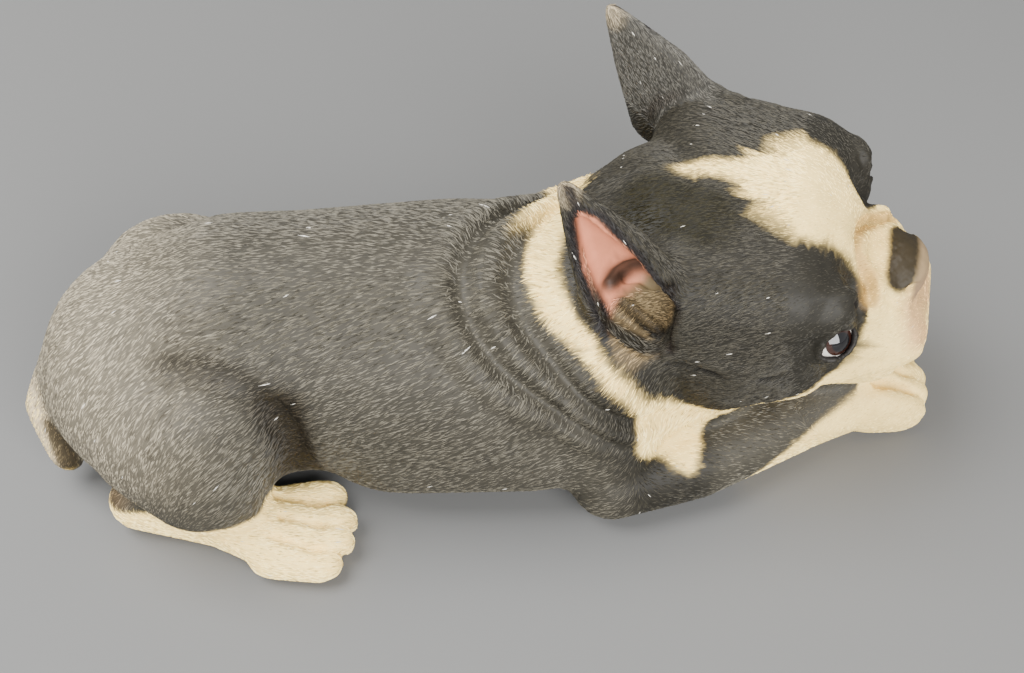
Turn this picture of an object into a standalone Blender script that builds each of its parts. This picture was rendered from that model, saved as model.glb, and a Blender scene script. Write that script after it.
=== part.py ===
"""A lying Boston terrier: one cast figure with two glass eyes set in its sockets.

The figure is blocked in as a sculptor does with clay. Eggs and the skins stretched
round them give the masses, a voxel remesh fuses them, brushes carve the folds, the
floor cuts the underside flat, and the eye sockets are cut last. Metres, +X towards
the nose, +Y to the dog's left, +Z up.
"""

import math

import bmesh
import bpy
import numpy as np
from mathutils import Euler, Matrix, Vector

MM = 0.001

# Driving dimensions
BODY_LENGTH = 280 * MM  # rump to the front of the paws
EYE_RADIUS = 7.5 * MM
SOCKET_GAP = 0.3 * MM  # all round each glass eye

# Free forms are shares of the length: figure units, 280 to the length
UNIT = BODY_LENGTH / 280

# The head's own frame: where it sits, and how far it looks up and to the dog's right
HEAD_AT = (74, 6, 60)
LOOK_UP = math.radians(11)
LOOK_RIGHT = math.radians(17.5)

# The right eye in the head's frame: its front, the way it looks, and the line from its
# outer to its inner corner. The opening is a cone from its centre, half as wide and high
# as this at unit distance.
EYE_FRONT = Vector((28.5, -34.5, 8))
EYE_LOOK = Vector((0.58, -0.74, 0.33)).normalized()
EYE_CORNERS = Vector((0.68, 0.68, 0.28)).normalized()
EYE_OPEN = (0.85, 0.48)
LID = 1.6 * MM  # thickness of the lids over the glass

# One ear in the head's frame, on the dog's right: base, tip, and its two own directions
EAR_BASE = Vector((-27, -38, 25))
EAR_TIP = Vector((-41, -35, 69))
EAR_OUT = Vector((0.08, -0.99, 0.1))
EAR_WIDE = Vector((0.95, 0.1, 0.28))
EAR_FOOT = Vector((-20, -38, 7))

# Planes of the two skin folds of the neck, as offsets along one normal
FOLD_NORMAL = (0.616, -0.229, 0.754)
FOLD_OFFSETS = (56.6, 64)
FOLD_WIDTH = 3.0
FOLD_DEPTH = 2.6
FOLD_LIP = 1.8
FOLD_FADE = (32, 48)  # heights between which the folds grow to their full depth

# The hollow between thigh and flank
FLANK_PATH = ((-88, 34, 72), (-74, 39, 62), (-68, 41, 48), (-68, 42, 34), (-72, 42, 20))
FLANK_WIDTH = 9
FLANK_DEPTH = 6

MASS_VOXEL = 2.5
CLAY_VOXEL = 1.3
TRIANGLES = 8100
SIDES = (-1, 1)


def ball(centre, radii):
    """The points of an egg of clay. One radius makes a ball."""
    radii = radii if isinstance(radii, tuple) else (radii,) * 3
    mesh = bmesh.new()
    bmesh.ops.create_icosphere(mesh, subdivisions=3, radius=1)
    points = [Vector([c + v.co[i] * radii[i] for i, c in enumerate(centre)]) for v in mesh.verts]
    mesh.free()
    return points


class Clay:
    """A lump of clay: closed skins that overlap until they are fused."""

    def __init__(self, frame=None):
        self.mesh = bmesh.new()
        self.frame = frame or Matrix.Identity(4)

    def skin(self, *balls):
        """Adds the skin stretched round the balls, each a centre and its radii."""
        lump = bmesh.new()
        for points in balls:
            for point in ball(*points):
                lump.verts.new((self.frame @ point) * UNIT)
        hull = bmesh.ops.convex_hull(lump, input=lump.verts)
        inner = [g for g in hull["geom_interior"] if isinstance(g, bmesh.types.BMVert)]
        bmesh.ops.delete(lump, geom=inner, context="VERTS")
        bmesh.ops.recalc_face_normals(lump, faces=lump.faces)
        mesh = bpy.data.meshes.new("skin")
        lump.to_mesh(mesh)
        lump.free()
        self.mesh.from_mesh(mesh)
        bpy.data.meshes.remove(mesh)

    def chain(self, *balls):
        """Adds a skin round each ball and the next, as a limb follows its bones."""
        for first, second in zip(balls, balls[1:]):
            self.skin(first, second)

    def to_object(self, name):
        mesh = bpy.data.meshes.new(name)
        self.mesh.to_mesh(mesh)
        self.mesh.free()
        return new_object(name, mesh)


def new_object(name, mesh):
    obj = bpy.data.objects.new(name, mesh)
    bpy.context.scene.collection.objects.link(obj)
    return obj


def settle(obj):
    """Turns the object's modifiers into its mesh."""
    graph = bpy.context.evaluated_depsgraph_get()
    mesh = bpy.data.meshes.new_from_object(obj.evaluated_get(graph), depsgraph=graph)
    obj.modifiers.clear()
    obj.data = mesh


def fuse(obj, voxel, smooth):
    """Fuses overlapping clay into one skin and softens it."""
    remesh = obj.modifiers.new("fuse", "REMESH")
    remesh.mode = "VOXEL"
    remesh.voxel_size = voxel * UNIT
    soften = obj.modifiers.new("soften", "SMOOTH")
    soften.factor = 0.5
    soften.iterations = smooth
    settle(obj)


def join(obj, clay):
    """Adds more clay to an object."""
    other = clay.to_object("more")
    mesh = bmesh.new()
    mesh.from_mesh(obj.data)
    mesh.from_mesh(other.data)
    mesh.to_mesh(obj.data)
    mesh.free()
    bpy.data.objects.remove(other)


def cut(obj, cutter):
    """Takes the cutter's form away from the object."""
    cutter.hide_render = True
    cutter.display_type = "WIRE"
    boolean = obj.modifiers.new("cut", "BOOLEAN")
    boolean.operation = "DIFFERENCE"
    boolean.solver = "EXACT"
    boolean.object = cutter
    settle(obj)
    bpy.data.objects.remove(cutter)


def head_frame():
    """Places the head's frame in the figure, in figure units."""
    turn = Euler((0, -LOOK_UP, -LOOK_RIGHT)).to_matrix().to_4x4()
    return Matrix.Translation(HEAD_AT) @ turn


def mirrored(point, side):
    """The point on the right side, or its mirror on the left."""
    return (point.x, -side * point.y, point.z)


def torso():
    """Rump, loin, ribs, neck and chest, with the thighs and shoulders."""
    clay = Clay()
    clay.chain(
        ((-105, -1, 39), (38, 39, 38)),
        ((-82, -1, 46), (36, 38, 44)),
        ((-60, -1, 46), (34, 37, 43.5)),
        ((-15, -1, 43), (38, 43, 42.5)),
        ((16, 0, 41), (32, 40, 41)),
    )
    clay.skin(((-34, -2, 26), (38, 40, 28)), ((5, -1, 26), (36, 44, 28)))
    clay.skin(((24, 1, 48), (28, 36, 37)), ((46, 8, 60), (24, 38, 38)))
    clay.skin(((30, 0, 34), (30, 37, 34)), ((60, 0, 30), (22, 28, 28)))
    for s in SIDES:
        clay.skin(((-101, 27 * s, 40), (27, 20, 30)), ((-95, 35 * s, 23), (20, 14, 17)))
        clay.skin(((20, 26 * s, 44), (22, 16, 28)), ((28, 35 * s, 16), (16, 12, 14)))
    clay.chain(((-134, 1, 42), 10), ((-143, -6, 30), 8), ((-141, -14, 14), (6, 6, 9)))
    return clay


def legs():
    """The folded hind feet and the forelegs laid forward under the chin."""
    clay = Clay()
    for s in SIDES:
        clay.chain(
            ((-118, 30 * s, 9), (10, 9, 10)),
            ((-92, 36 * s, 8), (12, 11, 10)),
            ((-72, 45 * s, 8), (12, 14, 8)),
        )
        for x, y, z in ((-64, 56, 6), (-60, 49, 7), (-59, 42, 7), (-62, 33, 7)):
            root = (x - 12, (y * 0.85 + 6) * s, z)
            clay.skin(((x, y * s, z), (8, 5, z)), (root, (9, 5, z)))
        clay.chain(
            ((28, 38 * s, 13), (13, 12, 13)),
            ((54, 33 * s, 13), (13, 12, 13)),
            ((90, 19 * s, 13), (13, 11, 13)),
            ((114, 11 * s, 13), (12, 11, 13)),
        )
        for y in (2, 8, 14, 20):
            reach = 4 - abs(y - 10) * 0.4
            clay.skin(
                ((115, y * s, 13), (10, 5, 11)),
                ((124 + reach, (y - 1) * s, 9), (9, 4.6, 9)),
            )
    return clay


def head():
    """Skull, brows, muzzle, chin, nose and ears."""
    clay = Clay(head_frame())
    box = []
    stop = []
    muzzle = []
    chin = []
    for s in SIDES:
        box += [((-16, 27 * s, 22), 17), ((13, 26 * s, 18), 15)]
        box += [((-10, 6 * s, 24), 18), ((11, 6 * s, 20), 17)]
        box += [((-10, 25 * s, -12), 18), ((11, 22 * s, -14), 14), ((0, 29 * s, 2), 16)]
        stop += [((17, 8 * s, 19), 13), ((29, 8 * s, 3), 8)]
        muzzle += [((20, 15 * s, -10), 13), ((35, 9 * s, 0), 10)]
        muzzle += [((41, 12 * s, -14), (11, 11, 9)), ((22, 17 * s, -17), (13, 12, 10))]
        chin += [((34, 7 * s, -30), (11, 10, 11)), ((6, 9 * s, -30), (14, 12, 12))]
        clay.skin(((34, 14 * s, 3), 7), ((22, 16 * s, 0), 10))
        clay.skin(((25, 28 * s, 17), 8.5), ((15, 31 * s, 15), 9), ((12, 24 * s, 15), 13))
        eye = EYE_FRONT - EYE_LOOK * EYE_RADIUS / UNIT
        lid = (mirrored(eye, s), (EYE_RADIUS + LID) / UNIT)
        clay.skin(lid, ((12, 23 * s, 4), 14))
    clay.skin(*box)
    clay.skin(*stop)
    clay.skin(*muzzle)
    clay.skin(*chin)
    clay.skin(((37, 0, 0), (10, 12, 10)), ((45, 0, 3), (6.5, 11, 7)))
    return clay


def ears():
    clay = Clay(head_frame())
    for s in SIDES:
        wide = [(mirrored(EAR_BASE + EAR_WIDE * w, s), 6.2) for w in (-9, 12)]
        middle = EAR_BASE.lerp(EAR_TIP, 0.5)
        wide += [(mirrored(middle + EAR_WIDE * w, s), 3.6) for w in (-6, 10)]
        clay.skin(*wide, (mirrored(EAR_TIP, s), 2.4), (mirrored(EAR_FOOT, s), 7))
    return clay


def ear_hollow(side):
    clay = Clay(head_frame())
    balls = []
    for out in (1, 12):
        shift = EAR_OUT * out
        middle = EAR_BASE.lerp(EAR_TIP, 0.45)
        for w in (-6, 9):
            balls.append((mirrored(EAR_BASE + EAR_WIDE * w + shift, side), 4))
        for w in (-3, 6.5):
            balls.append((mirrored(middle + EAR_WIDE * w + shift, side), 2))
        balls.append((mirrored(EAR_BASE.lerp(EAR_TIP, 0.78) + shift, side), 1.8))
        balls.append((mirrored(EAR_BASE.lerp(EAR_FOOT, 0.6) + shift, side), 4.5))
    clay.skin(*balls)
    return clay.to_object("hollow")


def falloff(distance, width):
    """1 on the stroke's line, easing to 0 at its width."""
    return np.clip(1 - (distance / width) ** 2, 0, 1) ** 2


def ramp(value, low, high):
    t = np.clip((value - low) / (high - low), 0, 1)
    return t * t * (3 - 2 * t)


def push(obj, amount):
    """Moves each point along its normal by amount(points), in figure units."""
    mesh = obj.data
    points = np.empty(len(mesh.vertices) * 3)
    normals = np.empty(len(mesh.vertices) * 3)
    mesh.vertices.foreach_get("co", points)
    mesh.vertex_normals.foreach_get("vector", normals)
    points = points.reshape(-1, 3) / UNIT
    points += normals.reshape(-1, 3) * amount(points)[:, None]
    mesh.vertices.foreach_set("co", (points * UNIT).ravel())
    mesh.update()


def near_path(points, path):
    """Each point's distance to a path, and how far along it the nearest place is."""
    best = np.full(len(points), np.inf)
    along = np.zeros(len(points))
    path = np.array(path, dtype=float)
    for i, (a, b) in enumerate(zip(path, path[1:])):
        t = np.clip((points - a) @ (b - a) / ((b - a) @ (b - a)), 0, 1)
        distance = np.linalg.norm(points - a - t[:, None] * (b - a), axis=1)
        along = np.where(distance < best, (i + t) / (len(path) - 1), along)
        best = np.minimum(best, distance)
    return best, along


def flanks(points):
    """The hollow of the flank in front of each thigh, on both sides."""
    amount = np.zeros(len(points))
    for s in SIDES:
        path = [(x, y * s, z) for x, y, z in FLANK_PATH]
        distance, along = near_path(points, path)
        amount -= falloff(distance, FLANK_WIDTH) * FLANK_DEPTH * ramp(along, 0, 0.5)
    return amount


def neck_folds(points):
    """Two folds round the neck, each a groove under a swollen lip."""
    normal = np.array(FOLD_NORMAL)
    amount = np.zeros(len(points))
    for offset in FOLD_OFFSETS:
        ahead = points @ normal - offset
        amount += falloff(ahead + FOLD_WIDTH * 1.4, FOLD_WIDTH * 1.6) * FOLD_LIP
        amount -= falloff(ahead, FOLD_WIDTH) * FOLD_DEPTH
    return amount * ramp(points[:, 2], *FOLD_FADE)


def flatten(obj):
    """Cuts off what is under the floor."""
    size = 2 * BODY_LENGTH
    mesh = bmesh.new()
    place = Matrix.Translation((0, 0, -size / 2))
    bmesh.ops.create_cube(mesh, size=size, matrix=place)
    floor = bpy.data.meshes.new("floor")
    mesh.to_mesh(floor)
    mesh.free()
    cut(obj, new_object("floor", floor))


def thin(obj, triangles):
    """Brings the mesh down to the given number of triangles."""
    obj.data.calc_loop_triangles()
    decimate = obj.modifiers.new("thin", "DECIMATE")
    decimate.ratio = triangles / len(obj.data.loop_triangles)
    decimate.use_collapse_triangulate = True
    settle(obj)


def eye_place(side):
    """The centre of a glass eye, which grows back from its front."""
    centre = EYE_FRONT - EYE_LOOK * EYE_RADIUS / UNIT
    return head_frame() @ Vector(mirrored(centre, side)) * UNIT


def eye_opening(side):
    """The almond between the lids, as a cone that opens from the eye's centre."""
    clay = Clay(head_frame())
    centre = EYE_FRONT - EYE_LOOK * EYE_RADIUS / UNIT
    rise = EYE_LOOK.cross(EYE_CORNERS)
    reach = 2 * EYE_RADIUS / UNIT
    balls = [(mirrored(centre, side), 1)]
    for wide, high in ((1, 0), (-1, 0), (0.3, 1), (-0.3, 1), (0.3, -1), (-0.3, -1)):
        aim = EYE_LOOK + EYE_CORNERS * EYE_OPEN[0] * wide + rise * EYE_OPEN[1] * high
        balls.append((mirrored(centre + aim * reach, side), 1))
    clay.skin(*balls)
    return clay.to_object("opening")


def sphere(name, centre, radius):
    mesh = bmesh.new()
    place = Matrix.Translation(centre)
    bmesh.ops.create_icosphere(mesh, subdivisions=3, radius=radius, matrix=place)
    data = bpy.data.meshes.new(name)
    mesh.to_mesh(data)
    mesh.free()
    return new_object(name, data)


def centre_footprint(objects):
    """Puts the middle of the whole part's footprint on the origin."""
    corners = [v.co for obj in objects for v in obj.data.vertices]
    middle = [(min(c[i] for c in corners) + max(c[i] for c in corners)) / 2 for i in (0, 1)]
    for obj in objects:
        obj.data.transform(Matrix.Translation((-middle[0], -middle[1], 0)))


def material(name, colour, roughness):
    mat = bpy.data.materials.new(name)
    mat.use_nodes = True
    shader = mat.node_tree.nodes["Principled BSDF"]
    shader.inputs["Base Color"].default_value = (*colour, 1)
    shader.inputs["Roughness"].default_value = roughness
    return mat


def finish(obj, mat):
    obj.data.materials.clear()
    obj.data.materials.append(mat)
    obj.data.shade_smooth()


def main():
    for obj in list(bpy.data.objects):
        bpy.data.objects.remove(obj)
    figure = torso().to_object("terrier")
    fuse(figure, MASS_VOXEL, 8)
    push(figure, flanks)
    for clay in (legs(), head(), ears()):
        join(figure, clay)
    fuse(figure, CLAY_VOXEL, 2)
    for s in SIDES:
        cut(figure, ear_hollow(s))
    fuse(figure, CLAY_VOXEL, 3)
    push(figure, neck_folds)
    flatten(figure)
    thin(figure, TRIANGLES)
    eyes = []
    for s, name in zip(SIDES, ("right_eye", "left_eye")):
        centre = eye_place(s)
        cut(figure, sphere("socket", centre, EYE_RADIUS + SOCKET_GAP))
        cut(figure, eye_opening(s))
        eyes.append(sphere(name, centre, EYE_RADIUS))
    centre_footprint([figure, *eyes])
    finish(figure, material("painted_resin", (0.12, 0.11, 0.1), 0.6))
    for eye in eyes:
        finish(eye, material("glass_" + eye.name, (0.03, 0.015, 0.01), 0.08))


main()
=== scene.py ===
# %% [markdown]
# # Carving and painting a lying Boston terrier
# A cast figure of a dog with its chin on its paws. The frame gives the true size and
# form. This lesson adds what the maker's tools and brushes left on it: the face, the
# toes, over a hundred thousand carved strokes of fur, the paint and the glass eyes.

# %%
import math
import bmesh
import bpy
import numpy as np
from mathutils import Euler, Matrix, Vector


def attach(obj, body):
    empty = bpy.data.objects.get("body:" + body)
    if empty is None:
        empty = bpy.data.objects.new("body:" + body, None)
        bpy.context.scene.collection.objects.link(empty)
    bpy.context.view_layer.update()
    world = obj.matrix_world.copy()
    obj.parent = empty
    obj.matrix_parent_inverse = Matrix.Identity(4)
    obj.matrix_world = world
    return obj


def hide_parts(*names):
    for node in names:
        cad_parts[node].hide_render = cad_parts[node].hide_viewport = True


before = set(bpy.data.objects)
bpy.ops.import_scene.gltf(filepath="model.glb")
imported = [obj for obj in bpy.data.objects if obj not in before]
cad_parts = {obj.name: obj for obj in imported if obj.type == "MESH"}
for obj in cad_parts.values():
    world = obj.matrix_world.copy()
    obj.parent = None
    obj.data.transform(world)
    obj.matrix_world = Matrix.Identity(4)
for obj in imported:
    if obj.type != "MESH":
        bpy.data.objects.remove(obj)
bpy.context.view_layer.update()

# %% [markdown]
# ## The photographer's place
# The camera looks down from 54 degrees, a little to the left of straight across the
# dog, and stands 44 cm from the middle of the figure.

# %%
MM = 0.001
MIDDLE = Vector((0.0073, 0, 0.04))
ELEVATION = math.radians(54)
AZIMUTH = math.radians(-5)
DISTANCE = 0.44
FOCAL_LENGTH = 50

back = Vector((
    math.sin(AZIMUTH) * math.cos(ELEVATION),
    -math.cos(AZIMUTH) * math.cos(ELEVATION),
    math.sin(ELEVATION),
))
lens = bpy.data.cameras.new("camera")
lens.lens = FOCAL_LENGTH
lens.clip_start = 0.01
camera = bpy.data.objects.new("camera", lens)
camera.matrix_world = Matrix.Translation(MIDDLE + back * DISTANCE) @ (
    back.to_track_quat("Z", "Y").to_matrix().to_4x4()
)
bpy.context.scene.collection.objects.link(camera)
bpy.context.scene.camera = camera
print("the camera stands at", [round(v, 3) for v in camera.matrix_world.translation])

# %% [markdown]
# ## Materials
# Every material is a Principled shader. This helper makes one and gives back its nodes,
# so that each later cell wires only what it needs.

# %%
def new_material(name, colour, roughness, specular=0.5):
    mat = bpy.data.materials.new(name)
    mat.use_nodes = True
    shader = mat.node_tree.nodes["Principled BSDF"]
    shader.inputs["Base Color"].default_value = (*colour, 1)
    shader.inputs["Roughness"].default_value = roughness
    shader.inputs["Specular IOR Level"].default_value = specular
    return mat, mat.node_tree, shader


def wire(tree, source, target):
    tree.links.new(source, target)


def node(tree, kind, **values):
    """Adds a node, with the given properties."""
    made = tree.nodes.new(kind)
    for key, value in values.items():
        setattr(made, key, value)
    return made


# %% [markdown]
# ## Floor and light
# A plain pale floor, one large soft light above and to the left, which leaves the rump
# brightest, and a wide fill from the camera's side, which keeps the shadows open.

# %%
FLOOR_REACH = 2
FLOOR_GREY = (0.13, 0.13, 0.127)

floor_mesh = bpy.data.meshes.new("floor")
corners = [(x * FLOOR_REACH, y * FLOOR_REACH, 0) for x, y in ((-1, -1), (1, -1), (1, 1), (-1, 1))]
floor_mesh.from_pydata(corners, [], [(0, 1, 2, 3)])
floor = bpy.data.objects.new("floor", floor_mesh)
bpy.context.scene.collection.objects.link(floor)
floor_mesh.materials.append(new_material("floor", FLOOR_GREY, 0.7, 0.2)[0])


def area_light(name, place, size, watts):
    data = bpy.data.lights.new(name, "AREA")
    data.size = size
    data.energy = watts
    light = bpy.data.objects.new(name, data)
    light.location = place
    light.rotation_euler = Vector(place).to_track_quat("Z", "Y").to_euler()
    bpy.context.scene.collection.objects.link(light)


area_light("key", place=(-0.5, 0.1, 0.95), size=0.7, watts=28)
area_light("fill", place=(0.3, -0.95, 0.6), size=0.9, watts=35)
SKY_STRENGTH = 0.75
world = bpy.data.worlds.new("studio")
world.use_nodes = True
world.node_tree.nodes["Background"].inputs["Color"].default_value = (1, 1, 1, 1)
world.node_tree.nodes["Background"].inputs["Strength"].default_value = SKY_STRENGTH
bpy.context.scene.world = world
print("two lights and a white sky at", SKY_STRENGTH)

# %% [markdown]
# ## A finer skin
# The frame's solid has about nine thousand triangles. A copy of it is welded, voxel
# remeshed at 0.8 mm and relaxed, which gives the brushes something smooth to work on.
# Shrinking and swelling steps take turns, so that the form keeps its size.

# %%
VOXEL = 0.8 * MM
RELAX_ROUNDS = 12


def link(name, mesh):
    obj = bpy.data.objects.new(name, mesh)
    bpy.context.scene.collection.objects.link(obj)
    return obj


def settle(obj):
    """Turns an object's modifiers into its mesh."""
    graph = bpy.context.evaluated_depsgraph_get()
    mesh = bpy.data.meshes.new_from_object(obj.evaluated_get(graph), depsgraph=graph)
    obj.modifiers.clear()
    obj.data = mesh
    return mesh


def copy_of(node_name, name):
    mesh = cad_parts[node_name].data.copy()
    work = bmesh.new()
    work.from_mesh(mesh)
    bmesh.ops.remove_doubles(work, verts=work.verts, dist=1e-6)
    work.to_mesh(mesh)
    work.free()
    mesh.materials.clear()
    return link(name, mesh)


def read(what, name, width):
    """Reads one value of every point, edge or face into an array."""
    values = np.empty(len(what) * width)
    what.foreach_get(name, values)
    return values.reshape(-1, width)


def write_points(mesh, points):
    mesh.vertices.foreach_set("co", points.ravel())
    mesh.update()


def relax(mesh, rounds):
    points = read(mesh.vertices, "co", 3)
    edges = read(mesh.edges, "vertices", 2).astype(int)
    ends = np.concatenate([edges, edges[:, ::-1]])
    count = np.bincount(ends[:, 0], minlength=len(points))[:, None]
    for step in [0.5, -0.52] * rounds:
        around = np.column_stack([
            np.bincount(ends[:, 0], points[ends[:, 1], i], len(points)) for i in range(3)
        ])
        points += (around / count - points) * step
    write_points(mesh, points)


figure = copy_of("terrier", "figure")
remesh = figure.modifiers.new("skin", "REMESH")
remesh.mode = "VOXEL"
remesh.voxel_size = VOXEL
skin = settle(figure)
relax(skin, RELAX_ROUNDS)
print("the skin has", len(skin.vertices), "points")

# %% [markdown]
# ## Places on the dog
# Brushes and paint need places. `body` is in millimetres from the figure's own zero,
# and `head` is in the head's own frame: x towards the nose, y to the dog's left, z up,
# from the middle of the skull. The eye's centre is measured on the frame.

# %%
OWN_ZERO = np.array((7.3, 0, 0))
HEAD_AT = np.array((74, 6, 60))
HEAD_TURN = np.array(Euler((0, math.radians(-11), math.radians(-17.5))).to_matrix())


def to_body(points):
    return points / MM - OWN_ZERO


def to_head(points):
    return (to_body(points) - HEAD_AT) @ HEAD_TURN


def to_world(head_points):
    return (np.asarray(head_points) @ HEAD_TURN.T + HEAD_AT + OWN_ZERO) * MM


def measured_eye(name):
    corners = read(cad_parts[name].data.vertices, "co", 3)
    return to_head((corners.min(0) + corners.max(0)) / 2)


EYE_CENTRE = measured_eye("right_eye")
EYE_RADIUS = 7.5
EYE_LOOK = np.array((0.582, -0.742, 0.331))
EYE_LINE = np.array((0.679, 0.679, 0.28))
EYE_LINE -= EYE_LOOK * (EYE_LINE @ EYE_LOOK)
EYE_LINE /= np.linalg.norm(EYE_LINE)
EYE_RISE = np.cross(EYE_LOOK, EYE_LINE)
print("the right eye sits at", EYE_CENTRE.round(1), "in the head")

# %% [markdown]
# ## Brushes
# A stroke is a path with a width and a height, in millimetres. It pushes the skin out
# along its normals, or carves it where the height is negative, and fades to both sides.
# Most strokes have a twin on the other side of the head.

# %%
def distance_to(points, path):
    best = np.full(len(points), np.inf)
    for a, b in zip(path, path[1:]):
        a = np.asarray(a, float)
        line = np.asarray(b, float) - a
        t = np.clip((points - a) @ line / (line @ line), 0, 1)
        best = np.minimum(best, np.linalg.norm(points - a - t[:, None] * line, axis=1))
    return best


def fade(distance, width):
    return np.clip(1 - (distance / width) ** 2, 0, 1) ** 2


def mirror(path):
    return [(x, -y, z) for x, y, z in path]


def carve(mesh, places, strokes):
    points = read(mesh.vertices, "co", 3)
    normals = read(mesh.vertex_normals, "vector", 3)
    where = places(points)
    amount = np.zeros(len(points))
    for path, width, height in strokes:
        amount += fade(distance_to(where, path), width) * height
    write_points(mesh, points + normals * amount[:, None] * MM)


def both(*strokes):
    return [s for p, w, h in strokes for s in ((p, w, h), (mirror(p), w, h))]


def lid_curve(out, wide, high):
    """The almond of the right eye's lids, a closed path this far from its centre."""
    path = []
    for i in range(25):
        t = math.tau * i / 24
        aim = EYE_LOOK + EYE_LINE * wide * math.cos(t) + EYE_RISE * high * math.sin(t)
        path.append(EYE_CENTRE + aim / np.linalg.norm(aim) * out)
    return path


NOSE_ROLL = [
    (36, -18, 8), (35.2, -13.8, 9.6), (33.9, -10.6, 11.5), (32, -8.4, 16.2), (31.1, -5.5, 18.5),
    (31.4, -0.4, 18), (32.5, 4.5, 15), (34.2, 9.5, 11.5), (36.3, 12.6, 9.4), (40, 16, 6),
]
CHEEK = [(-18, -45, 7), (-4, -43, 3), (11, -41, -1), (21, -37, -4)]
MOUTH = [
    (2, -39, -23), (9, -37, -22), (17, -33, -22.5), (28, -28, -22), (39, -23, -21),
    (49, -18, -19), (54, -7, -20),
]
EYE_CORNER = [(32.3, -28.4, 19.5), (32.8, -28.8, 16.5), (32.3, -29.2, 13)]
EAR_CREASE = [(-15.5, -40, 36), (-16.4, -39.5, 22), (-17.5, -43, 12.5)]
EAR_POCKET = [(-33.5, -35.3, 31), (-31, -35, 35), (-28, -34.6, 37.5), (-24, -34.5, 39)]
EAR_CAVITY = [(-31, -35.4, 22.5), (-27.1, -35.1, 17.1), (-22.5, -36, 11.5)]
FACE = both(
    (lid_curve(EYE_RADIUS + 1.5, 0.95, 0.58), 2.2, 0.9),
    (lid_curve(EYE_RADIUS + 3, 1.5, 1.05), 2.6, -0.8),
    (CHEEK, 2.4, -1.3),
    ([(x, y, z + 4) for x, y, z in CHEEK[:3]], 4, 0.8),
    (MOUTH, 2.6, -1.8),
    ([(x, y, z + 4) for x, y, z in MOUTH[1:6]], 4, 0.8),
    ([(52, -3.5, 3), (50.5, -7.5, 2), (47, -10.5, 4)], 2.4, -2.6),
    (EAR_CREASE, 2.2, -1.5),
    (EAR_POCKET, 3.0, -1.9),
    ([(-29, -35, 32.5), (-25, -35, 33), (-22, -35.5, 29)], 2.6, 1.7),
    (EAR_CAVITY, 2.8, -2.4),
    ([(35, -17, 5), (40, -15, 5), (45, -14, 0)], 2.4, -1.0),
    ([(19, -33, 25), (27, -30, 25), (33, -26, 21)], 3, 0.7),
    ([(30, -24, 22), (33, -21, 14), (34, -22, 4)], 2.4, -0.9),
    (EYE_CORNER, 1.8, -1.1),
) + [
    (NOSE_ROLL, 3, -2.5),
    ([(38, -14, 9), (36, -9, 12), (35, -5, 15.5), (35, 1, 15.5), (37, 7, 11.5)], 3.5, 1.6),
    ([(53, 0, -1), (55, 0, -10), (54, 0, -18)], 2.6, -1.8),
    ([(41, -9, 9), (44.5, 0, 10), (41.5, 9, 9)], 4, 0.9),
    ([(39, 17, 7), (44, 17, 3)], 3.4, 1.6),
    ([(36, 20, 9), (41, 21, 4)], 3, 1.4),
    ([(36, 17, 9), (42, 19, 5)], 1.8, -1.6),
    ([(-14, 37, 35), (-7, 35, 36)], 5, 1.6),
    ([(-2, 34, 33), (4, 33, 32)], 4, 1.0),
]
FORE_TOES = [
    ([(114, y, 25), (122, y - 1, 21), (130, y - 1, 13), (131, y - 1, 3)], 2.4, -3)
    for y in (5.2, 11, 17)
]
HIND_TOES = [
    ([(x - 14, y * 0.94, 16), (x - 3, y, 13), (x + 6, y, 8), (x + 7, y, 2)], 2.4, -2.0)
    for x, y in ((-63, 53), (-60, 46), (-61, 38))
]
RECESS = [(-68.5, -34, 60), (-67.5, -34, 44), (-67, -33.6, 26)]
THIGH_EDGE = [(-98, -27, 74), (-89, -29, 75), (-79, -32, 72), (-73, -33.5, 66), (-70, -34, 58)]
NOSE_PAD = [(43.5, -9, 8), (44, 0, 9), (43.5, 7, 8)]
carve(skin, to_head, FACE)
carve(skin, to_body, both(*FORE_TOES, *HIND_TOES, (RECESS, 9, -2.2), (THIGH_EDGE, 5, -0.9)))
print(len(FACE), "strokes on the face")

# %% [markdown]
# The nose's skin is pebbled. Three crossing waves give small even bumps.

# %%
PEBBLE = 2.4
PEBBLE_HEIGHT = 0.28 * MM
points = read(skin.vertices, "co", 3)
normals = read(skin.vertex_normals, "vector", 3)
head = to_head(points)
bumps = np.sin(head * (math.tau / PEBBLE)).prod(axis=1)
bumps *= np.clip(2 * fade(distance_to(head, NOSE_PAD), 7), 0, 1)
write_points(skin, points + normals * bumps[:, None] * PEBBLE_HEIGHT)

# %% [markdown]
# The skin is now thinned where it is flat, which keeps the fine detail of the face.

# %%
SKIN_TRIANGLES = 190_000
skin.calc_loop_triangles()
thin = figure.modifiers.new("thin", "DECIMATE")
thin.ratio = SKIN_TRIANGLES / len(skin.loop_triangles)
thin.use_collapse_triangulate = True
skin = settle(figure)
skin.shade_smooth()
print("the figure has", len(skin.polygons), "triangles")

# %% [markdown]
# ## Paint
# Each point of the skin gets a colour. A layer is a mask from 0 to 1 and a colour laid
# over what is there, in the order that a painter would use: coat, pale markings, pink
# and ochre stains, and last the black lines.

# %%
points = read(skin.vertices, "co", 3)
normals = read(skin.vertex_normals, "vector", 3)
body = to_body(points)
head = to_head(points)
head_normals = normals @ HEAD_TURN
mirrored_y = -np.abs(head[:, 1])
right_head = np.column_stack([head[:, 0], mirrored_y, head[:, 2]])
right_normals = np.column_stack([
    head_normals[:, 0],
    head_normals[:, 1] * np.where(head[:, 1] > 0, -1, 1),
    head_normals[:, 2],
])


def ramp(value, low, high):
    t = np.clip((value - low) / (high - low), 0, 1)
    return t * t * (3 - 2 * t)


print("the paint is worked out at", len(points), "points")

# %% [markdown]
# The ears come first. One measure says how far up an ear a point lies, another how far
# across from its middle line, and the masks follow from the two. The rim is the narrow
# band just outside the bare inner skin.

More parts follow.
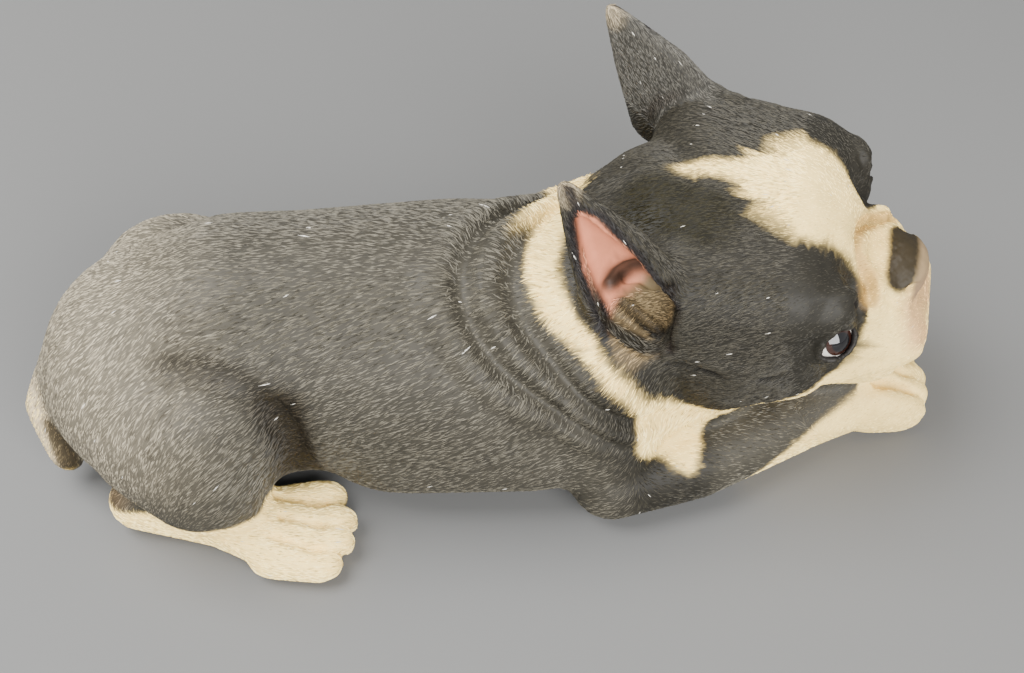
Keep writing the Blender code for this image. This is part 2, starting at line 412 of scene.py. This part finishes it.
# %%
EAR_BASE = np.array((-27, -38, 25))
EAR_TIP = np.array((-41, -35, 69))
EAR_OUT = np.array((0.08, -0.99, 0.1))
EAR_WIDE = np.array((0.95, 0.1, 0.28))
FOLD_NORMAL = np.array((0.616, -0.229, 0.754))

ear_line = EAR_TIP - EAR_BASE
ear_up = (right_head - EAR_BASE) @ ear_line / (ear_line @ ear_line)
ear_across = (right_head - EAR_BASE - ear_up[:, None] * ear_line) @ EAR_WIDE
ear_edge = np.interp(ear_up, (-0.4, -0.2, 0, 0.45, 0.78, 0.88), (2, 8, 10.5, 7.8, 3.2, -1))
ear_middle = np.interp(ear_up, (-0.4, 0), (-3, 1.6))
beyond = np.abs(ear_across - ear_middle) - ear_edge
to_front = ramp(right_normals @ EAR_OUT, 0.0, 0.4)
beside = ramp(-right_head[:, 1], 29, 31) * (head[:, 0] < -10)
is_ear = ramp(ear_up, 0.0, 0.12) * beside * (head[:, 2] > 22) * (1 - ramp(beyond, 5, 9))
inside_ear = (1 - ramp(beyond, -0.6, 0.6)) * to_front * beside * ramp(ear_up, -0.38, -0.28)
rear_rim = np.where(ear_across < ear_middle, 2.2, 1.7)
ear_rim = np.clip(1 - np.abs(beyond - 1) / rear_rim, 0, 1) * to_front * beside
ear_rim = np.clip(ear_rim * 1.6, 0, 1) * ramp(ear_up, -0.15, 0.0)
print("the ears cover", round(float((is_ear > 0.5).mean()) * 100, 1), "% of the skin")

# %% [markdown]
# The blaze starts as a point on the skull, is widest over the brows and narrows again
# to the nose. Tables that are read with np.interp give its half width along the head,
# where the pale face begins at each height, and where the skull ends behind the cheek.

# %%
along = body @ FOLD_NORMAL
is_head = ramp(along, 76, 80)
blaze_half = np.interp(
    head[:, 0],
    (-24, -18, -6, -1, 2, 5, 8, 12, 16, 21, 26, 30, 36),
    (0, 1.5, 3, 4.6, 7.5, 11.5, 14.8, 17.2, 18.2, 17.6, 15, 12.5, 12),
)
blaze = ramp(blaze_half - np.abs(head[:, 1]), -2.2, 2.2) * ramp(head[:, 0], -24, -16)
blaze *= ramp(head[:, 2], 4, 8)
face_from = np.interp(
    head[:, 2],
    (-30, -22, -18.5, -16.8, -12.3, -6, 0.6, 8.2, 10.7, 17.4, 21),
    (-16, 2, 11, 21, 29, 32.7, 34.2, 34.4, 33, 30.5, 34),
)
skull_from = np.interp(
    head[:, 2], (-26, -19, -15, -6, 8, 20, 32), (-3, -9, -17, -24, -29, -38, -50)
)
far_skull_from = np.interp(
    head[:, 2], (-26, -19, -15, -6, 8, 20), (-3, -9, -17, -24, -29, -50)
)
skull_from = np.where(head[:, 1] > 0, far_skull_from, skull_from)
skull = ramp(head[:, 0] - skull_from, -2, 2)
face = ramp(head[:, 0] - face_from, -1.5, 1.5) * (body[:, 2] > 30)
patch_from = np.interp(head[:, 2], (-12, -6, 0.6, 8, 11, 21), (26.5, 23.6, 21.3, 18, 14.5, 12.5))
eye_patch = ramp(np.abs(head[:, 1]) - patch_from, -1, 1) * (head[:, 0] < 35)
face *= 1 - eye_patch * ramp(head[:, 2], -9, -5)
print("the pale face covers", round(float((face > 0.5).mean()) * 100, 1), "% of the skin")

# %% [markdown]
# The collar lies between the folds of the neck and the skull, and runs down into the
# pale chest. `along` grows from the body towards the head, square to the folds.

# %%
collar_top = np.interp(body[:, 1], (-33, -24, -14, 6, 22), (71, 67.5, 66.5, 63, 60))
collar_side = np.interp(body[:, 2], (36, 41, 55, 66), (60, 62.5, 69, 71))
collar_from = np.where(body[:, 2] > 66, collar_top, collar_side)
collar_from -= 0.6 * np.maximum(body[:, 1] - 22, 0)
collar = ramp(along - collar_from, -1.5, 1.5) * (1 - skull) * (1 - is_ear)
chest_low = np.interp(body[:, 0], (32, 36, 42, 50, 60), (36, 31, 26, 21.5, 14))
chest = ramp(body[:, 2] - chest_low, -1.5, 1.5)
chest *= ramp(body[:, 0], 32, 35) * (1 - skull) * (body[:, 0] < 100)
leg_front = 64.5 + 0.72 * (body[:, 2] - 39.3)
chest *= 1 - ramp(body[:, 0] - leg_front, -1.5, 1.5) * ramp(np.abs(body[:, 1]), 22, 26)
collar = np.maximum(collar * (body[:, 2] > 36), chest * (body[:, 2] < 50))
print("collar and chest cover", round(float((collar > 0.5).mean()) * 100, 1), "% of the skin")

# %% [markdown]
# The forepaws and the hind feet are pale up to a slanted line on the leg. The belly
# beside the hind feet stays dark.

# %%
leg_line = np.interp(body[:, 0], (66, 72, 80, 93, 107, 112), (0, 8, 14, 20, 24, 40))
paws = ramp(leg_line - body[:, 2], -1.5, 1.5) * (body[:, 0] > 64)
foot_top = np.interp(body[:, 0], (-130, -110, -92, -72, -60), (12, 16, 17, 19, 20))
foot_in = np.interp(body[:, 0], (-130, -92, -60, -50), (18, 24, 27, 29))
hind_feet = ramp(foot_top - body[:, 2], -1, 1) * ramp(np.abs(body[:, 1]) - foot_in, -1, 1)
hind_feet *= ramp(-body[:, 0], 46, 50)
under_belly = ramp(body[:, 0], -84, -80) * (1 - ramp(np.abs(body[:, 1]), 38, 41))
hind_feet *= 1 - under_belly * (1 - ramp(normals[:, 2], -0.1, 0.2))
pale_feet = paws + hind_feet > 0.5
print("paws and feet cover", round(float(pale_feet.mean()) * 100, 1), "% of the skin")

# %% [markdown]
# Now the colours go on, as linear values. The coat comes first: pale at the rump, partly
# worn paint and partly painted light, dark in front, painted shade in the recess before the
# thigh and along the thigh's top edge, and darkest beside the blaze. The pale markings
# lie over it.

# %%
COAT = (0.070, 0.063, 0.047)
FORE_COAT = (0.028, 0.025, 0.018)
CREAM = (0.97, 0.71, 0.25)
paint = np.tile(np.array(COAT), (len(points), 1))


def layer(mask, colour):
    global paint
    paint = paint * (1 - mask[:, None]) + np.array(colour) * mask[:, None]


# The rump is painted paler: partly worn paint, partly painted light where the lamp from above and
# to the left falls on it.
rump_wear_and_light = ramp(-body[:, 0], 72, 132) * ramp(body[:, 2], 15, 50)
layer(rump_wear_and_light * 0.85, (0.27, 0.235, 0.17))
layer(np.maximum(is_head, ramp(body[:, 0] + along * 0.5, 40, 62)), FORE_COAT)
leg = ramp(body[:, 0], 52, 66) * ramp(40 - body[:, 2], 0, 8)
layer(leg * 0.9, (0.085, 0.077, 0.058))
far_ear = is_ear * (head[:, 1] > 0) * ramp(ear_up, 0.0, 0.3)
layer(far_ear * 0.9, (0.066, 0.062, 0.052))
right_body = np.column_stack([body[:, 0], -np.abs(body[:, 1]), body[:, 2]])
# Painted shade: near-black in the recess before the thigh.
recess_shade = fade(distance_to(right_body, RECESS), 13)
layer(np.clip(recess_shade * 1.3, 0, 1) * 0.85, (0.014, 0.010, 0.005))
# Painted shade: a soft dark band along the top edge of the thigh.
layer(fade(distance_to(right_body, THIGH_EDGE), 9) * 0.55, (0.022, 0.018, 0.012))
olive = fade(distance_to(head, [(-26, -12, 40), (-9, -17, 39)]), 13)
layer(np.clip(olive * 2, 0, 1) * 0.95, (0.0105, 0.0085, 0.0018))
layer(blaze, CREAM)
layer(face, CREAM)
layer(collar, CREAM)
layer(paws, CREAM)
layer(hind_feet, CREAM)
print("pale paint covers", round(float((paint[:, 0] > 0.5).mean()) * 100), "% of the skin")

# %% [markdown]
# Stains and worn places follow: the worn tail, the heels, the ochre round the nose, a brown
# line of painted shade under the lip, the worn tips of the ears and the pink inside them.
# Painted shade in the hollows of the ears and the eye's inner corner, and the dark of the
# nose, the lids and the cheek line come last.

# %%
tail = fade(distance_to(body, [(-136, -2, 38), (-146, -8, 32), (-147, -16, 18)]), 10)
layer(np.clip(tail * 1.5, 0, 1) * 0.9, (0.72, 0.58, 0.36))
tail_edge = fade(distance_to(body, [(-140.8, -14, 30), (-140.5, -17, 24), (-140, -19, 14)]), 5.5)
layer(np.clip(tail_edge * 1.6, 0, 1) * 0.85, (0.05, 0.035, 0.015))
hock = fade(distance_to(right_body, [(-128, -31, 16), (-124, -38, 20)]), 8)
layer(hock * 0.7, (0.20, 0.13, 0.06))
blush = fade(distance_to(head, [(50, -14, -9), (51, -13, 0), (53, 0, -8), (50, 14, -4)]), 11)
layer(np.clip(blush * 1.3, 0, 1) * 0.8, (0.50, 0.28, 0.14))
warm = fade(distance_to(head, [(38, -9, 11), (37, -2, 13), (38, 5, 11)]), 8)
layer(warm * 0.45, (0.72, 0.45, 0.12))
roll_shade = np.clip(fade(distance_to(head, NOSE_ROLL), 4.6) * 1.5, 0, 1)
layer(roll_shade * 0.75, (0.45, 0.26, 0.07))
worn = fade(distance_to(right_head, [EAR_TIP, EAR_TIP - ear_line * 0.06]), 5)
layer(worn * 0.7, (0.40, 0.32, 0.20))
# Painted shade: a thin brown line under the edge of the lip, where it overhangs the jaw.
layer(fade(distance_to(right_head, MOUTH), 2.2) * 0.6, (0.42, 0.25, 0.14))
pink = inside_ear * ramp(ear_up - 0.014 * (ear_across + 6), -0.06, 0.08)
layer(inside_ear, (0.16, 0.115, 0.058))
layer(pink, (0.62, 0.22, 0.12))
layer(ear_rim * 0.9, (0.012, 0.010, 0.010))
# Painted shade: near-black in the ear's pocket, cavity and crease, and in the notch at the eye's
# inner corner.
for strip, wide, tint in (
    (EAR_POCKET, 5.0, 0.018), (EAR_CAVITY, 3.4, 0.007),
    (EAR_CREASE, 3.0, 0.007), (EYE_CORNER, 2, 0.007),
):
    crease_shade = np.clip(fade(distance_to(right_head, strip), wide) * 1.3, 0, 1)
    layer(crease_shade * 0.96, (tint * 1.4, tint, tint * 0.7))
nose_pad = fade(distance_to(head, NOSE_PAD), 6)
nose_front = ramp(head[:, 0], 46, 48) * ramp(head[:, 2], -3, -1)
layer(nose_front * 0.9 * (np.abs(head[:, 1]) < 12), (0.20, 0.135, 0.085))
layer(np.clip(nose_pad * 2.5, 0, 1), (0.026, 0.019, 0.009))
lid_line = fade(distance_to(right_head, lid_curve(EYE_RADIUS + 0.5, 0.9, 0.52)), 1.9)
layer(np.clip(lid_line * 1.3, 0, 1), (0.020, 0.017, 0.015))
layer(fade(distance_to(right_head, CHEEK), 2.4) * 0.9, (0.008, 0.007, 0.006))
in_socket = np.linalg.norm(right_head - EYE_CENTRE, axis=1) < EYE_RADIUS + 0.8
layer(in_socket, (0.01, 0.008, 0.008))


def store(mesh, name, kind, values):
    attribute = mesh.attributes.new(name, kind, "POINT")
    what = {"FLOAT": "value", "FLOAT_VECTOR": "vector", "FLOAT_COLOR": "color"}[kind]
    attribute.data.foreach_set(what, np.ascontiguousarray(values, dtype=np.float32).ravel())


store(skin, "paint", "FLOAT_COLOR", np.column_stack([paint, np.ones(len(paint))]))
print("the paint's mean colour is", paint.mean(0).round(3))

# %% [markdown]
# ## Which way the fur lies
# The coat lies from the nose back over the skull and along the back, slants down the
# flanks, and drops over the rump and the thighs. On the legs it runs to the toes.

# %%
def blend(first, second, mask):
    return first * (1 - mask[:, None]) + np.asarray(second, float) * mask[:, None]


flow = np.tile(np.array((-1.0, 0, -0.5)), (len(points), 1))
flow = blend(flow, (-0.35, 0, -1), ramp(-body[:, 0], 82, 112))
flow = blend(flow, -FOLD_NORMAL, ramp(along, 40, 56))
flow = blend(flow, (0.9, 0, -0.3), ramp(34 - body[:, 2], 0, 8) * ramp(body[:, 0], 20, 50))
flow = blend(flow, (1, 0, -0.2), hind_feet)
in_head = np.column_stack([
    np.full(len(points), -1.0),
    0.25 * np.sign(head[:, 1]),
    -0.3 + 0 * points[:, 0],
])
to_ear = np.tile(ear_line / np.linalg.norm(ear_line), (len(points), 1))
in_head = blend(in_head, to_ear, is_ear)
flow = flow * (1 - is_head[:, None]) + (in_head @ HEAD_TURN.T) * is_head[:, None]
flow -= normals * (flow * normals).sum(1)[:, None]
flow /= np.maximum(np.linalg.norm(flow, axis=1), 1e-6)[:, None]

bald = np.clip(inside_ear * ramp(ear_up, -0.05, 0.1) + lid_line + in_socket, 0, 1)
bald = np.maximum(bald, nose_pad > 0.3)
bald = np.maximum(bald, nose_front * (np.abs(head[:, 1]) < 12) > 0.5)
bald = np.maximum(bald, points[:, 2] < 0.4 * MM)
fine = np.maximum(face, paws * (body[:, 0] > 95))
fine = np.maximum(fine, ramp(head[:, 0], 8, 22) * is_head)
zone = np.where(body[:, 0] < -38, 0.0, 1.0)
zone = np.where(is_head > 0.5, 2.0, zone)
zone = np.where((fine > 0.5) | (hind_feet > 0.5), 3.0, zone)
size = 1.0 - 0.22 * is_head - 0.22 * np.maximum(hind_feet, ramp(34 - body[:, 2], 0, 8))
size = np.where(fine > 0.5, 0.4, size)
store(skin, "flow", "FLOAT_VECTOR", flow)
store(skin, "zone", "FLOAT", zone)
store(skin, "bald", "FLOAT", bald.astype(float))
store(skin, "size", "FLOAT", size)
store(skin, "even", "FLOAT", np.maximum(bald, ramp(paint[:, 0], 0.2, 0.6)))
print("bare of strokes:", round(float((bald > 0.5).mean()) * 100, 1), "% of the skin")

# %% [markdown]
# ## One stroke of the carving tool
# A ridge with two pointed ends and three edges: six triangles. It is 1 long, 1 wide
# and 1 high, and Geometry Nodes scales it.

# %%
ridge_points = [
    (-0.5, 0, -0.2), (0.5, 0, -0.1), (0, -0.5, -0.35), (0, 0.5, -0.35), (-0.05, 0, 0.65)
]
ridge_faces = [(0, 2, 4), (2, 1, 4), (1, 3, 4), (3, 0, 4), (0, 3, 2), (1, 2, 3)]
ridge_mesh = bpy.data.meshes.new("ridge")
ridge_mesh.from_pydata(ridge_points, [], ridge_faces)
ridge = link("ridge", ridge_mesh)
print("a stroke has", len(ridge_mesh.polygons), "triangles")

# %% [markdown]
# ## Strewing the strokes
# The node group spreads points on one zone of the skin, leaves out bare places, turns a
# stroke along the flow at each point, and gives it a random length and tone.

# %%
TURN_JITTER = 0.22


def fur_group():
    tree = bpy.data.node_groups.new("carved fur", "GeometryNodeTree")
    ports = tree.interface
    ports.new_socket("Geometry", in_out="INPUT", socket_type="NodeSocketGeometry")
    for name, kind in (
        ("Stroke", "NodeSocketObject"), ("Zone", "NodeSocketFloat"),
        ("Density", "NodeSocketFloat"), ("Length", "NodeSocketFloat"),
        ("Width", "NodeSocketFloat"), ("Height", "NodeSocketFloat"),
        ("Seed", "NodeSocketInt"),
        ("Material", "NodeSocketMaterial"),
    ):
        ports.new_socket(name, in_out="INPUT", socket_type=kind)
    ports.new_socket("Geometry", in_out="OUTPUT", socket_type="NodeSocketGeometry")
    given = node(tree, "NodeGroupInput").outputs

    def attribute(name, kind):
        made = node(tree, "GeometryNodeInputNamedAttribute", data_type=kind)
        made.inputs["Name"].default_value = name
        return made.outputs["Attribute"]

    def maths(operation, *values):
        made = node(tree, "ShaderNodeMath", operation=operation)
        for socket, value in zip(made.inputs, values):
            if isinstance(value, (int, float)):
                socket.default_value = value
            else:
                wire(tree, value, socket)
        return made.outputs[0]

    def random(low, high, seed):
        made = node(tree, "FunctionNodeRandomValue", data_type="FLOAT")
        made.inputs[2].default_value = low
        made.inputs[3].default_value = high
        wire(tree, maths("ADD", given["Seed"], seed), made.inputs["Seed"])
        return made.outputs[1]

    off_zone = maths("ABSOLUTE", maths("SUBTRACT", attribute("zone", "FLOAT"), given["Zone"]))
    in_zone = maths("LESS_THAN", off_zone, 0.5)
    furry = maths("LESS_THAN", attribute("bald", "FLOAT"), 0.5)
    spread = node(tree, "GeometryNodeDistributePointsOnFaces", distribute_method="RANDOM")
    wire(tree, given["Geometry"], spread.inputs["Mesh"])
    wire(tree, maths("MULTIPLY", in_zone, furry), spread.inputs["Selection"])
    wire(tree, given["Density"], spread.inputs["Density"])
    wire(tree, given["Seed"], spread.inputs["Seed"])

    turn = node(tree, "FunctionNodeAxesToRotation", primary_axis="Z", secondary_axis="X")
    wire(tree, spread.outputs["Normal"], turn.inputs["Primary Axis"])
    wire(tree, attribute("flow", "FLOAT_VECTOR"), turn.inputs["Secondary Axis"])
    jitter = node(tree, "FunctionNodeAxisAngleToRotation")
    jitter.inputs["Axis"].default_value = (0, 0, 1)
    wire(tree, random(-TURN_JITTER, TURN_JITTER, 1), jitter.inputs["Angle"])
    both_turns = node(tree, "FunctionNodeRotateRotation", rotation_space="LOCAL")
    wire(tree, turn.outputs[0], both_turns.inputs["Rotation"])
    wire(tree, jitter.outputs[0], both_turns.inputs["Rotate By"])

    size = node(tree, "ShaderNodeCombineXYZ")
    for axis, name, low, high in (
        ("X", "Length", 0.7, 1.3), ("Y", "Width", 0.8, 1.2), ("Z", "Height", 0.6, 1.3)
    ):
        given_size = maths("MULTIPLY", given[name], attribute("size", "FLOAT"))
        wire(tree, maths("MULTIPLY", given_size, random(low, high, ord(axis))), size.inputs[axis])

    source = node(tree, "GeometryNodeObjectInfo", transform_space="ORIGINAL")
    wire(tree, given["Stroke"], source.inputs["Object"])
    place = node(tree, "GeometryNodeInstanceOnPoints")
    wire(tree, spread.outputs["Points"], place.inputs["Points"])
    wire(tree, source.outputs["Geometry"], place.inputs["Instance"])
    wire(tree, both_turns.outputs[0], place.inputs["Rotation"])
    wire(tree, size.outputs[0], place.inputs["Scale"])

    tone = node(tree, "GeometryNodeStoreNamedAttribute", data_type="FLOAT", domain="INSTANCE")
    tone.inputs["Name"].default_value = "tone"
    wire(tree, place.outputs[0], tone.inputs["Geometry"])
    wire(tree, random(0, 1, 5), tone.inputs["Value"])
    real = node(tree, "GeometryNodeRealizeInstances")
    wire(tree, tone.outputs[0], real.inputs["Geometry"])
    dress = node(tree, "GeometryNodeSetMaterial")
    wire(tree, real.outputs[0], dress.inputs["Geometry"])
    wire(tree, given["Material"], dress.inputs["Material"])
    wire(tree, dress.outputs[0], node(tree, "NodeGroupOutput").inputs[0])
    return tree


fur_nodes = fur_group()
SOCKETS = {
    item.name: item.identifier for item in fur_nodes.interface.items_tree
    if item.in_out == "INPUT"
}
print("the node group has", len(fur_nodes.nodes), "nodes and the inputs", list(SOCKETS))

# %% [markdown]
# ## The paint's materials
# Skin and strokes read the same paint. The skin shows only between the strokes, so it
# is darker, as paint is in a groove. The "even" attribute lifts it where the paint is
# pale or the skin is bare, because dark gaps would look like dirt there. A stroke's tone
# darkens or lightens its paint, and a few strokes are pale: partly chips worn to the pale
# casting, partly painted glints of light on the paint.

# %%
GROOVE_DEPTHS = (0.3, 0.7)
EVEN_LIFT = 0.35
STROKE_TONES = (0.4, 1.9)
PALEST = (0.98, 0.78, 0.34)
CHIP_AND_GLINT = (0.62, 0.59, 0.52, 1)
CHIP_AND_GLINT_FROM = 0.9985


def paint_material(name, groove):
    mat, tree, shader = new_material(name, (0.1, 0.1, 0.1), 0.55, 0.2)
    colour = node(tree, "ShaderNodeAttribute", attribute_name="paint")
    if groove:
        noise = node(tree, "ShaderNodeTexNoise")
        noise.inputs["Scale"].default_value = 160
        noise.inputs["Detail"].default_value = 3
        wire(tree, node(tree, "ShaderNodeTexCoord").outputs["Object"], noise.inputs["Vector"])
        depth = node(tree, "ShaderNodeMapRange")
        wire(tree, noise.outputs["Fac"], depth.inputs["Value"])
        depth.inputs["To Min"].default_value = GROOVE_DEPTHS[0]
        depth.inputs["To Max"].default_value = GROOVE_DEPTHS[1]
        even = node(tree, "ShaderNodeAttribute", attribute_name="even")
        level = node(tree, "ShaderNodeMath", operation="MULTIPLY_ADD")
        wire(tree, even.outputs["Fac"], level.inputs[0])
        level.inputs[1].default_value = EVEN_LIFT
        wire(tree, depth.outputs["Result"], level.inputs[2])
        scale = level.outputs[0]
    else:
        tone = node(tree, "ShaderNodeAttribute", attribute_name="tone")
        level = node(tree, "ShaderNodeMapRange")
        wire(tree, tone.outputs["Fac"], level.inputs["Value"])
        level.inputs["To Min"].default_value = STROKE_TONES[0]
        level.inputs["To Max"].default_value = STROKE_TONES[1]
        scale = level.outputs["Result"]
    scaled = node(tree, "ShaderNodeVectorMath", operation="SCALE")
    wire(tree, colour.outputs["Color"], scaled.inputs[0])
    wire(tree, scale, scaled.inputs["Scale"])
    limit = node(tree, "ShaderNodeVectorMath", operation="MINIMUM")
    limit.inputs[1].default_value = PALEST
    wire(tree, scaled.outputs[0], limit.inputs[0])
    if groove:
        wire(tree, limit.outputs[0], shader.inputs["Base Color"])
        return mat
    # A few strokes turn pale grey: partly worn chips, partly painted glints of light.
    is_chip_and_glint = node(tree, "ShaderNodeMath", operation="GREATER_THAN")
    wire(tree, tone.outputs["Fac"], is_chip_and_glint.inputs[0])
    is_chip_and_glint.inputs[1].default_value = CHIP_AND_GLINT_FROM
    chip_and_glint = node(tree, "ShaderNodeMix", data_type="RGBA")
    wire(tree, is_chip_and_glint.outputs[0], chip_and_glint.inputs["Factor"])
    wire(tree, limit.outputs[0], chip_and_glint.inputs[6])
    chip_and_glint.inputs[7].default_value = CHIP_AND_GLINT
    wire(tree, chip_and_glint.outputs[2], shader.inputs["Base Color"])
    return mat


skin_paint = paint_material("painted resin", True)
fur_paint = paint_material("painted fur", False)
skin.materials.append(skin_paint)
print("materials:", skin_paint.name, "and", fur_paint.name)

# %% [markdown]
# ## The coat
# Four pieces of about as many strokes each: the rear, the chest and shoulders, the head,
# and the fine work of the face and the feet. Each gets a map for baking: every stroke has its own
# square in a grid, with its six triangles side by side.

# %%
def lay_out(mesh, faces_each):
    """Gives each stroke a square of a grid, and each of its triangles a slice of it."""
    count = len(mesh.polygons) // faces_each
    across = math.ceil(math.sqrt(count))
    uv = mesh.uv_layers.new(name="OFBake")
    stroke = np.repeat(np.arange(count), faces_each * 3)
    corner = np.tile(np.arange(3), count * faces_each)
    slice_at = np.tile(np.repeat(np.arange(faces_each), 3), count)
    u = (slice_at + np.array((0.1, 0.9, 0.5))[corner]) / faces_each
    v = np.array((0.1, 0.1, 0.9))[corner]
    places = np.column_stack([(stroke % across + u) / across, (stroke // across + v) / across])
    uv.uv.foreach_set("vector", places.astype(np.float32).ravel())


STROKES = 31_000
LENGTH = 3.3 * MM
WIDTH = 0.6 * MM
HEIGHT = 0.33 * MM

corners_of_skin = read(skin.polygons, "vertices", 3).astype(int)
areas = read(skin.polygons, "area", 1)[:, 0]
furry = bald[corners_of_skin].mean(1) < 0.5


def grow(name, zone_value):
    in_zone = np.abs(zone[corners_of_skin].mean(1) - zone_value) < 0.5
    coat = link(name, skin.copy())
    fur = coat.modifiers.new("fur", "NODES")
    fur.node_group = fur_nodes
    for key, value in {
        "Stroke": ridge, "Zone": float(zone_value), "Length": LENGTH, "Width": WIDTH,
        "Height": HEIGHT, "Seed": 11 + zone_value, "Material": fur_paint,
        "Density": float(STROKES / areas[in_zone & furry].sum()),
    }.items():
        fur[SOCKETS[key]] = value
    mesh = settle(coat)
    lay_out(mesh, len(ridge_faces))
    print(name, "has", len(mesh.polygons) // len(ridge_faces), "strokes")
    return coat


ZONES = ("rear_fur", "fore_fur", "head_fur", "face_fur")
coats = [grow(name, value) for value, name in enumerate(ZONES)]
bpy.data.objects.remove(ridge)

# %% [markdown]
# ## Glass eyes
# Each eye is a ball with a slight cornea. Rings round its axis are the pupil, the dark
# brown iris and the white.

# %%
GAZE_FORWARD = 0.1
CORNEA_FROM = 0.8
CORNEA_RISE = 0.04
RINGS = (
    (0.84, (0.030, 0.010, 0.006)), (0.92, (0.022, 0.008, 0.005)), (0.95, (0.003, 0.003, 0.004)),
)


def glass_eye(name, node_name, side_sign):
    centre = measured_eye(node_name)
    gaze = EYE_LOOK + EYE_LINE * GAZE_FORWARD
    aim = Vector((gaze * (1, -side_sign, 1)) @ HEAD_TURN.T)
    work = bmesh.new()
    bmesh.ops.create_uvsphere(work, u_segments=64, v_segments=48, radius=1)
    for v in work.verts:
        bulge = max(0.0, v.co.z - CORNEA_FROM) / 0.2
        v.co *= EYE_RADIUS * MM * (1 + CORNEA_RISE * bulge * bulge)
    mesh = bpy.data.meshes.new(name)
    work.to_mesh(mesh)
    work.free()
    height = read(mesh.vertices, "co", 3)[:, 2] / (EYE_RADIUS * MM)
    store(mesh, "toward_front", "FLOAT", height)
    place = Matrix.Translation(Vector(to_world(centre)))
    mesh.transform(place @ aim.to_track_quat("Z", "Y").to_matrix().to_4x4())
    mesh.shade_smooth()
    mesh.materials.append(eye_glass)
    return link(name, mesh)


eye_glass, eye_tree, eye_shader = new_material("eye glass", (0.02, 0.01, 0.008), 0.06, 0.2)
rings = node(eye_tree, "ShaderNodeValToRGB")
front = node(eye_tree, "ShaderNodeAttribute", attribute_name="toward_front")
wire(eye_tree, front.outputs["Fac"], rings.inputs["Fac"])
wire(eye_tree, rings.outputs["Color"], eye_shader.inputs["Base Color"])
stops = rings.color_ramp.elements
stops[0].position, stops[0].color = 0.80, (0.62, 0.57, 0.52, 1)
stops[1].position, stops[1].color = 0.815, (0.01, 0.006, 0.005, 1)
for position, colour in RINGS:
    stops.new(position).color = (*colour, 1)
eye_shader.inputs["Coat Weight"].default_value = 1
eye_shader.inputs["Coat Roughness"].default_value = 0.02
eyes = [glass_eye("eye_right", "right_eye", -1), glass_eye("eye_left", "left_eye", 1)]
print("each eye has", len(eyes[0].data.polygons), "faces")

# %% [markdown]
# ## Handing over
# Every piece rides on the one body. The skin, the four coats and the eyes stand for the
# frame's own nodes.

# %%
for piece in (figure, *coats, *eyes):
    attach(piece, "root")
for piece in (figure, *coats):
    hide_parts("terrier")
for piece, name in zip(eyes, ("right_eye", "left_eye")):
    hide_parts(name)
